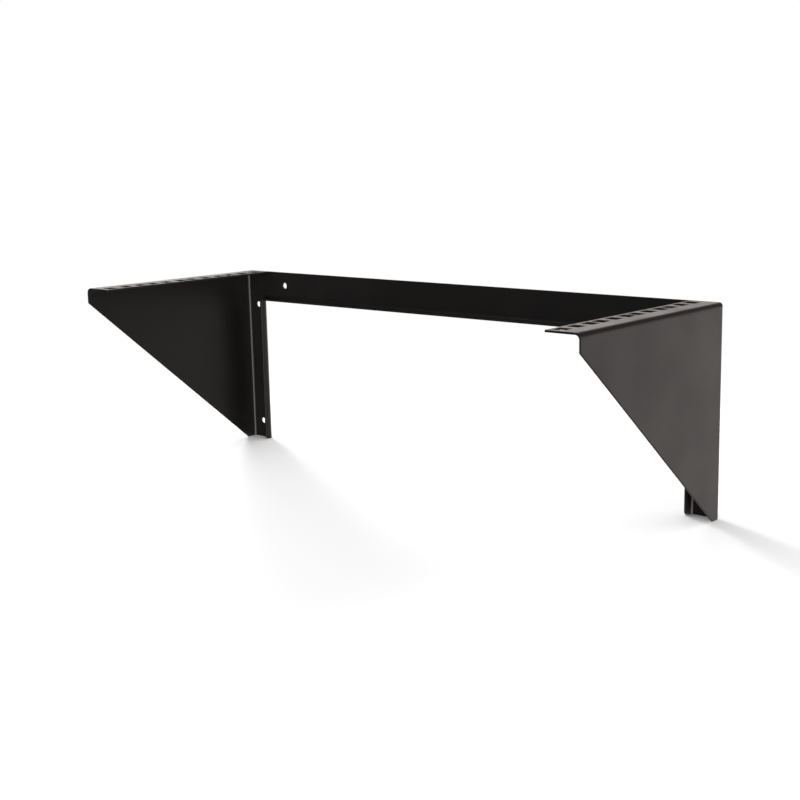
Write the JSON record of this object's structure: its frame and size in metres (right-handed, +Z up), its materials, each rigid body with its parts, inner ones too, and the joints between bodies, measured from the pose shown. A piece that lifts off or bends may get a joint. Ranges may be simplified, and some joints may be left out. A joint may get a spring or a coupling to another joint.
{
  "type": "wall mount open frame rack",
  "caption": "Open wall bracket for 19 inch equipment: two folded triangular side plates with square-hole top flanges, joined by a folded back rail.",
  "frame": {"origin": "on the wall plane, half way between the two holes of the back rail", "axes": "+X to the right along the back rail, +Y into the wall, +Z up; the rack opens towards -Y"},
  "size_m": [0.506, 0.187, 0.162],
  "materials": {
    "powder_coat": "fine matt black powder coat on folded steel sheet"
  },
  "bodies": {
    "root": {"left_side_bracket": "powder_coat", "right_side_bracket": "powder_coat", "back_rail": "powder_coat", "left_corner_weld": "powder_coat", "right_corner_weld": "powder_coat"}
  },
  "joints": []
}
